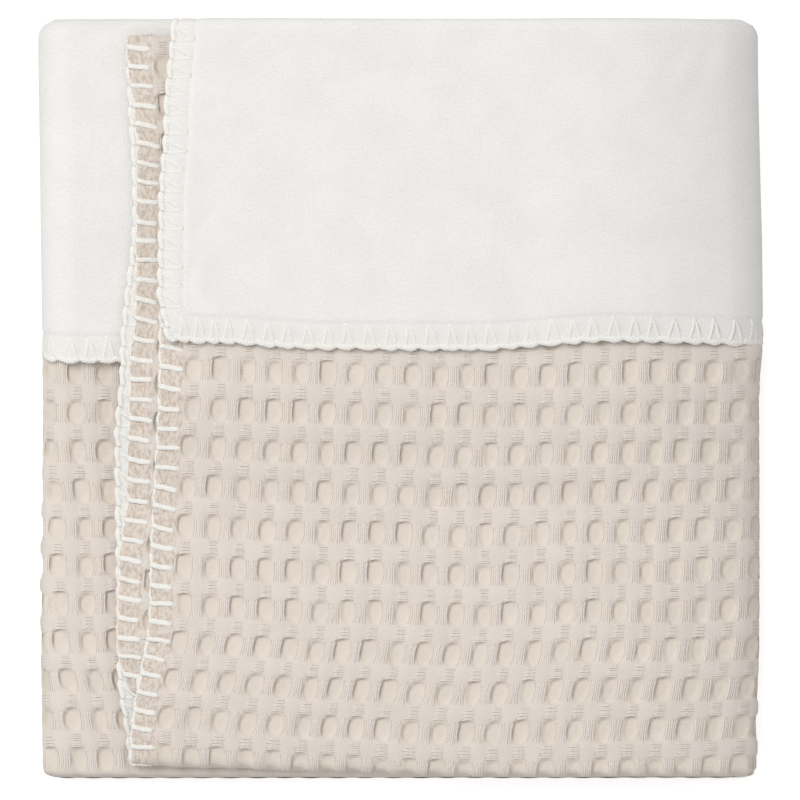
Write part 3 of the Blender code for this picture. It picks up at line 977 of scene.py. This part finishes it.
def loops(edge, stitches):
    """The yarn along the edge, from each stitch to the next."""
    first, last = stitches[:-1, None], stitches[1:, None]
    t = np.linspace(-0.14, 1.14, LOOP_RINGS)[None]
    along = mix(first, last, t)
    middle = np.sin(math.pi * np.clip(t, 0.0, 1.0))
    flannel_up = 0.5 - 0.5 * section(along).out_height if edge == "front" else edge == "hem"
    distance = mix(*LOOP_INSET, flannel_up)
    distance = distance - LOOP_BULGE * middle * mix(0.5, 1.5, chance(first * 400, 6.0))
    lowered = TAIL_LOWERED * (along > RUN_START["tail"]) * (edge == "front")
    n = -LOOP_LOW + LOOP_RISE * (t - 0.5) - lowered
    plump = (0.80 + 0.20 * middle) * mix(0.92, 1.08, chance(first * 600, 7.0))
    plump = plump * (1.0 + 0.07 * np.sin(9.0 * t + first * 1700))
    half_width = mix(*LOOP_HALF_WIDTH, flannel_up) * plump
    return strand(edge, along, distance, n, half_width, LOOP_HALF_HEIGHT * plump, 5.0 * t)


# ---- Materials ----
class Graph:
    """The nodes of a material or world, and short calls that add one and return its output."""

    def __init__(self, owner, shader, values):
        owner.use_nodes = True
        self.owner = owner
        self.tree = owner.node_tree
        self.shader = self.tree.nodes[shader]
        self.put(self.shader, values)

    def put(self, node, values):
        """Links each value that is a socket, and sets the others."""
        for socket, value in values.items():
            if isinstance(value, bpy.types.NodeSocket):
                self.tree.links.new(value, node.inputs[socket])
            else:
                node.inputs[socket].default_value = value

    def add(self, kind, values, output=0, **settings):
        node = self.tree.nodes.new(kind)
        for key, setting in settings.items():
            setattr(node, key, setting)
        self.put(node, values)
        return node.outputs[output]

    def math(self, operation, *values):
        return self.add("ShaderNodeMath", dict(enumerate(values)), operation=operation)

    def times(self, *values):
        return self.math("MULTIPLY", *values)

    def mark(self, name):
        """A number that the mesh keeps at each of its points."""
        return self.add("ShaderNodeAttribute", {}, "Fac", attribute_name=name)

    def cloth_uv(self):
        """The two coordinates of the cloth, and both as a vector."""
        uv = self.add("ShaderNodeUVMap", {}, uv_map="cloth")
        return (*(self.add("ShaderNodeSeparateXYZ", {0: uv}, axis) for axis in "XY"), uv)

    def scaled(self, vector, x, y):
        values = {0: vector, 1: (x, y, 1.0)}
        return self.add("ShaderNodeVectorMath", values, operation="MULTIPLY")

    def noise(self, vector, scale, detail=2.0):
        values = {"Vector": vector, "Scale": scale, "Detail": detail, "Roughness": 0.6}
        return self.add("ShaderNodeTexNoise", values, "Fac")

    def step(self, value, low, high, first=0.0, last=1.0):
        """first where the value is low, last where it is high, and smooth between."""
        values = {"Value": value, "From Min": low, "From Max": high}
        values.update({"To Min": first, "To Max": last})
        return self.add("ShaderNodeMapRange", values, interpolation_type="SMOOTHSTEP")

    def blend(self, share, first, last):
        colours = {6: (*first, 1.0) if isinstance(first, tuple) else first}
        colours[7] = (*last, 1.0) if isinstance(last, tuple) else last
        return self.add("ShaderNodeMix", {0: share, **colours}, 2, data_type="RGBA")

    def shade(self, colour, *step):
        """A colour times the number that step gives for these values."""
        values = {0: 1.0, 6: colour, 7: self.step(*step)}
        return self.add("ShaderNodeMix", values, 2, data_type="RGBA", blend_type="MULTIPLY")

    def finish(self, colour, height, distance):
        values = {"Strength": 1.0, "Distance": distance, "Height": height}
        bump = self.add("ShaderNodeBump", values)
        self.put(self.shader, {"Base Color": colour, "Normal": bump})
        return self.owner


def surface(name, roughness, sheen):
    values = {"Roughness": roughness, "Sheen Weight": sheen, "Sheen Roughness": 0.6}
    values["Specular IOR Level"] = 0.25
    return Graph(bpy.data.materials.new(name), "Principled BSDF", values)


YARNS_ACROSS, YARNS_ALONG = 13.0, 17.0
BEIGE, NODE_BEIGE = (0.704, 0.635, 0.565), (0.716, 0.652, 0.595)
PIT_BEIGE = (0.720, 0.649, 0.569)
BAND_BROWN = (0.50, 0.40, 0.325)
YARN_BEIGE, YARN_BEIGE_LIGHT = (0.705, 0.640, 0.570), (0.800, 0.740, 0.680)
# The brown of the painted shade in the pits' crevices
CREVICE_PAINTED_SHADE = (0.52, 0.425, 0.34)
# The brown and share of the painted shade on the floats' sides, in the grooves between them
GROOVE_PAINTED_SHADE, GROOVE_SHADE_SHARE = (0.47, 0.375, 0.30), 0.36
FLANNEL_DARK, FLANNEL_LIGHT = (0.765, 0.750, 0.722), (0.835, 0.823, 0.800)
FLANNEL_BAND = (0.750, 0.728, 0.680)
COTTON_DARK, COTTON_LIGHT = (0.81, 0.785, 0.73), (0.90, 0.885, 0.845)


def waffle_material():
    """The waffle's own cloth: fine yarns, paler pits, greyer nodes, a browner stitched band, and
    painted shade in the pits' crevices.
    """
    graph = surface("waffle_weave", 0.92, 0.12)
    across, along, uv = graph.cloth_uv()
    in_mm = graph.scaled(uv, COLUMN * 1000, ROW * 1000)
    from_column = graph.math("PINGPONG", across, 0.5)
    from_row = graph.math("PINGPONG", along, 0.5)
    pit = graph.times(graph.step(from_column, 0.17, 0.27), graph.step(from_row, 0.17, 0.25))
    near_column = graph.step(from_column, 0.22, 0.36, 1.0, 0.0)
    node = graph.times(near_column, graph.step(from_row, 0.18, 0.30, 1.0, 0.0))
    colour = graph.blend(node, BEIGE, NODE_BEIGE)
    colour = graph.blend(pit, colour, PIT_BEIGE)
    spots = graph.step(graph.noise(graph.scaled(in_mm, 0.75, 0.38), 1.0, 3.0), 0.40, 0.66)
    spots = graph.times(graph.times(graph.mark("band"), spots), 0.75)
    colour = graph.blend(spots, colour, BAND_BROWN)
    # Painted shade: the crevices at the foot of the pits' steep upper left walls are darkened
    # towards brown
    colour = graph.blend(graph.times(graph.mark("crevice_and_painted_shade"), 0.36), colour, CREVICE_PAINTED_SHADE)
    fuzz = graph.noise(in_mm, 1.6, 4.0)
    patches = graph.noise(in_mm, 0.07)
    colour = graph.shade(colour, patches, 0.25, 0.75, 0.965, 1.03)
    colour = graph.shade(colour, fuzz, 0.25, 0.75, 0.95, 1.04)

    lengthwise = graph.math("SINE", graph.times(across, math.tau * YARNS_ACROSS))
    crosswise = graph.math("SINE", graph.times(along, math.tau * YARNS_ALONG))
    lines = graph.times(lengthwise, graph.math("SUBTRACT", 1.0, pit))
    lines = graph.math("ADD", lines, graph.times(crosswise, pit))
    height = graph.math("MULTIPLY_ADD", fuzz, 1.3, graph.times(lines, 0.16))
    return graph.finish(colour, height, 0.00016)


def waffle_yarn_material():
    """The waffle's floats, each a soft yarn with fibres along it, its sides darkened as painted
    shade towards the grooves between floats.
    """
    graph = surface("waffle_yarn", 0.92, 0.12)
    around, along, uv = graph.cloth_uv()
    fibres = graph.noise(graph.scaled(uv, 7.0, 0.55), 1.0, 3.0)
    lumps = graph.noise(uv, 0.9)
    colour = graph.blend(graph.step(fibres, 0.3, 0.7), YARN_BEIGE, YARN_BEIGE_LIGHT)
    colour = graph.shade(colour, lumps, 0.3, 0.7, 0.93, 1.04)
    # Painted shade: each float is darker towards its sides, where the grooves between floats lie
    from_top = graph.math("ABSOLUTE", graph.math("SUBTRACT", around, 0.5))
    groove = graph.step(from_top, 0.10, 0.46, 0.0, GROOVE_SHADE_SHARE)
    colour = graph.blend(groove, colour, GROOVE_PAINTED_SHADE)
    return graph.finish(colour, fibres, 0.00010)


def flannel_material():
    """Brushed flannel: short felted fuzz with a faint nap, softly mottled."""
    graph = surface("brushed_flannel", 0.96, 0.25)
    across, along, uv = graph.cloth_uv()
    in_mm = graph.scaled(uv, FLANNEL_TILE * 1000, FLANNEL_TILE * 1000)
    fuzz = graph.noise(in_mm, 1.1, 5.0)
    nap = graph.noise(graph.scaled(in_mm, 0.35, 1.2), 1.0, 3.0)
    clouds = graph.noise(in_mm, 0.055, 3.0)
    napped = graph.step(nap, 0.30, 0.70, 0.0, 0.35)
    share = graph.math("ADD", graph.step(fuzz, 0.30, 0.70, 0.0, 0.65), napped)
    colour = graph.blend(share, FLANNEL_DARK, FLANNEL_LIGHT)
    colour = graph.blend(graph.times(graph.mark("band"), 0.22), colour, FLANNEL_BAND)
    colour = graph.shade(colour, clouds, 0.25, 0.75, 0.975, 1.02)
    height = graph.math("MULTIPLY_ADD", nap, 0.5, fuzz)
    return graph.finish(colour, height, 0.00024)


def cotton_material():
    """The stitching yarn: soft plied cotton."""
    graph = surface("cotton_yarn", 0.94, 0.20)
    around, along, uv = graph.cloth_uv()
    turns = graph.math("MULTIPLY_ADD", around, math.tau, graph.times(along, 1.9))
    plies = graph.math("SINE", graph.times(turns, 2.0))
    fibres = graph.noise(graph.scaled(uv, 7.0, 0.8), 1.0, 4.0)
    colour = graph.blend(graph.step(fibres, 0.28, 0.68), COTTON_DARK, COTTON_LIGHT)
    # Painted shade: the yarn is a little darker in the troughs between its plies
    colour = graph.shade(colour, plies, -1.0, 0.2, 0.955, 1.0)
    height = graph.math("MULTIPLY_ADD", plies, 0.16, fibres)
    return graph.finish(colour, height, 0.00030)


def floor_material():
    """A pale studio floor, a little lit from within so that shadows on it stay light."""
    graph = surface("studio_floor", 0.9, 0.0)
    grain = graph.noise(graph.add("ShaderNodeTexCoord", {}, "Object"), 40.0)
    colour = graph.blend(grain, (0.93, 0.93, 0.93), (0.96, 0.96, 0.96))
    glow = {"Emission Color": (1.0, 1.0, 1.0, 1.0), "Emission Strength": FLOOR_GLOW}
    graph.put(graph.shader, {"Base Color": colour, **glow})
    return graph.owner


# ---- The blanket ----
Cloth = namedtuple("Cloth", "material slot flip rests_on")
waffle = Cloth(waffle_material(), "waffle_cotton", False, "flannel_lining")
flannel = Cloth(flannel_material(), "brushed_flannel", True, "waffle_cloth")
Yarn = namedtuple("Yarn", "material slot")
waffle_yarn = Yarn(waffle_yarn_material(), "waffle_cotton")
yarn = Yarn(cotton_material(), "stitch_yarn")

shown = [waffle_patch(row, waffle, True) for row in PATCHES]
for row in HIDDEN_PATCHES:
    waffle_patch(row, waffle, False)
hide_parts("waffle_cloth")
lining = [flannel_patch(patch, flannel) for patch in FLANNEL_PATCHES]
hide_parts("flannel_lining")

# Blocks of floats. Columns: name, columns, rows, and how many rings and sides a float has
FLOAT_BLOCKS = (
    ("floats_front_left", (1, 12), (-2, 10), 5),
    ("floats_front_right", (12, 23), (-2, 10), 5),
    ("floats_right_turn", (23, 26), (-2, 10), 5),
    ("floats_underside", (26, 47), (-2, 10), 3),
    ("floats_left_turn", (47, 49), (-2, 10), 5),
    ("floats_left_panel", (49, 53), (-2, 10), 5),
    ("floats_tail_edge", (1, 3), (28, 45), 5),
)
for name, columns, rows, fineness in FLOAT_BLOCKS:
    sets = [floats(columns, rows, kind, fineness) for kind in (LENGTHWISE, CROSSWISE)]
    yarn_piece(name, sets, fineness, 0, waffle_yarn, capped=False)

# The stitches, and what they are kept clear of at the cloth's corners
CORNER_KEPT, HEM_FROM, HEM_TO = 0.0045, 0.004, 0.742
edge_stitches = stitches_between(FRONT_TABLE, CORNER_KEPT, CLOTH_LENGTH - CORNER_KEPT)
hem_stitches = stitches_between(HEM_TABLE, HEM_FROM, HEM_TO)
on_face = (edge_stitches > RUN_START["face"]) & (edge_stitches < RUN_START["return"])
on_tail = edge_stitches > RUN_START["tail"] - 0.006
on_flannel = edge_stitches < RUN_START["tail"]
along_front = np.concatenate([[0.0], edge_stitches, [CLOTH_LENGTH]])
along_hem = np.concatenate([[0.0], hem_stitches])
face_bars = bars("front", edge_stitches[on_face])
tail_bars = bars("front", edge_stitches[on_tail]), bars("tail end", hem_stitches[:3])
flannel_slants = slants("hem", hem_stitches) + slants("front", edge_stitches[on_flannel])
edges = ("front", along_front), ("hem", along_hem), ("tail end", along_hem[:5])
# Columns: name, sets of strands, sides and plies of the yarn
STITCHING = (
    ("stitches_face", [face_bars], 12, 3),
    ("stitches_tail", tail_bars, 12, 3),
    ("stitches_flannel", flannel_slants, 8, 2),
    ("edge_loops", [loops(*edge) for edge in edges], 8, 2),
)
for name, sets, sides, plies in STITCHING:
    yarn_piece(name, sets, sides, plies, yarn)

# ---- The studio ----
FLOOR_DROP = 0.0002
FLOOR_GLOW = 0.45
FLOOR_REACH = 3.0
CAMERA_PLACE = (-0.00024, -0.0004, 8.0)
PACK_MIDDLE = 0.035
METRES_PER_PIXEL = 0.0004013
PHOTO_PIXELS = 800
camera_data = bpy.data.cameras.new("camera")
camera_data.sensor_width = 36.0
away = CAMERA_PLACE[2] - PACK_MIDDLE
camera_data.lens = camera_data.sensor_width * away / (PHOTO_PIXELS * METRES_PER_PIXEL)
camera_data.clip_end = 50.0
bpy.context.scene.camera = add_object("camera", camera_data, CAMERA_PLACE)

floor_mesh = bpy.data.meshes.new("floor")
bm = bmesh.new()
bmesh.ops.create_grid(bm, x_segments=1, y_segments=1, size=FLOOR_REACH)
bm.to_mesh(floor_mesh)
bm.free()
floor_mesh.materials.append(floor_material())
floor = add_object("floor", floor_mesh, (0.0, 0.0, -FLOOR_DROP))
floor.visible_diffuse = False

# Soft light from all around, brightest overhead, and a large lamp at the upper left
SKY_LOW, SKY_HIGH = 0.62, 0.74
LAMP_SIZE, LAMP_POWER, LAMP_PLACE = 2.25, 64.0, (-1.65, 1.35, 2.90)
sky = Graph(bpy.data.worlds.new("studio"), "Background", {"Color": (1.0, 1.0, 1.0, 1.0)})
up = sky.add("ShaderNodeSeparateXYZ", {0: sky.add("ShaderNodeTexCoord", {}, "Generated")}, "Z")
strength = sky.add("ShaderNodeMapRange", {"Value": up, "To Min": SKY_LOW, "To Max": SKY_HIGH})
sky.put(sky.shader, {"Strength": strength})
bpy.context.scene.world = sky.owner
lamp_data = bpy.data.lights.new("key", "AREA")
lamp_data.shape = "DISK"
lamp_data.size = LAMP_SIZE
lamp_data.energy = LAMP_POWER
lamp = add_object("key", lamp_data, LAMP_PLACE)
lamp.rotation_euler = lamp.location.to_track_quat("Z", "Y").to_euler()
lamp.visible_camera = False
bpy.context.scene.view_settings.view_transform = "Standard"
